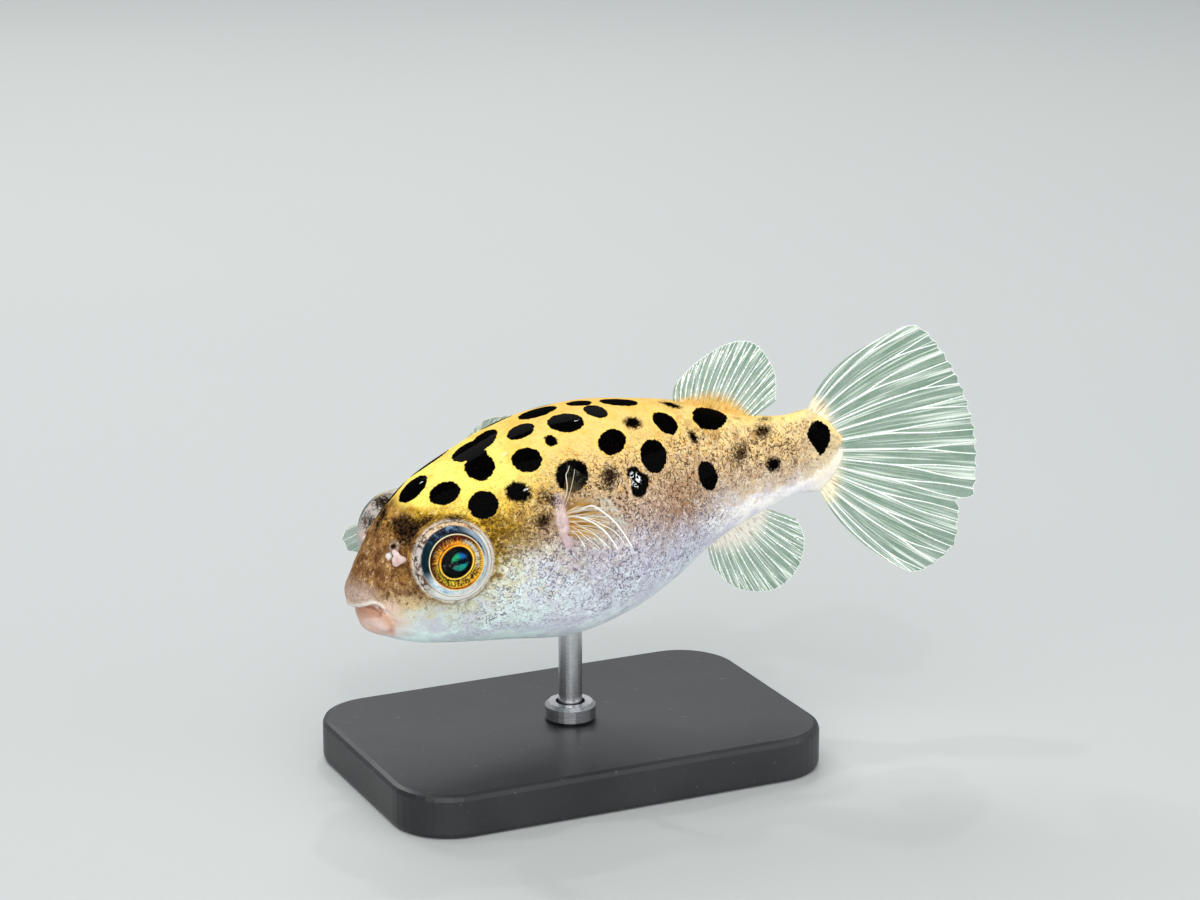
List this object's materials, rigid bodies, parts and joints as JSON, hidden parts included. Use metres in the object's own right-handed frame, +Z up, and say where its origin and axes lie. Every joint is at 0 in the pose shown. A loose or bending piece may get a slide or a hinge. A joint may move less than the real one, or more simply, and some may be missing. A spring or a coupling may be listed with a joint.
{
  "type": "spotted freshwater pufferfish",
  "caption": "Spotted freshwater pufferfish, a still model swimming nose-down with spread fins, held by a rod on a flat display base.",
  "frame": {"origin": "middle of the underside of the stand's base", "axes": "+Z up; the fish faces -X and its left side faces -Y"},
  "size_m": [0.0655, 0.0318, 0.0438],
  "materials": {
    "skin": "moist skin, yellow above and white below, with dark spots",
    "eye": "wet and clear over a gold iris",
    "fin": "thin clear membrane with white rays",
    "stand_base": "satin black",
    "stand_metal": "brushed"
  },
  "bodies": {
    "root": {"head": "skin", "lower_jaw": "skin", "trunk": "skin", "tail": "skin", "eye_left": "eye", "eye_right": "eye", "dorsal_fin": "fin", "anal_fin": "fin", "caudal_fin": "fin", "pectoral_fin_left": "fin", "pectoral_fin_right": "fin", "stand_base": "stand_base", "stand_rod": "stand_metal", "stand_collar": "stand_metal"}
  },
  "joints": []
}
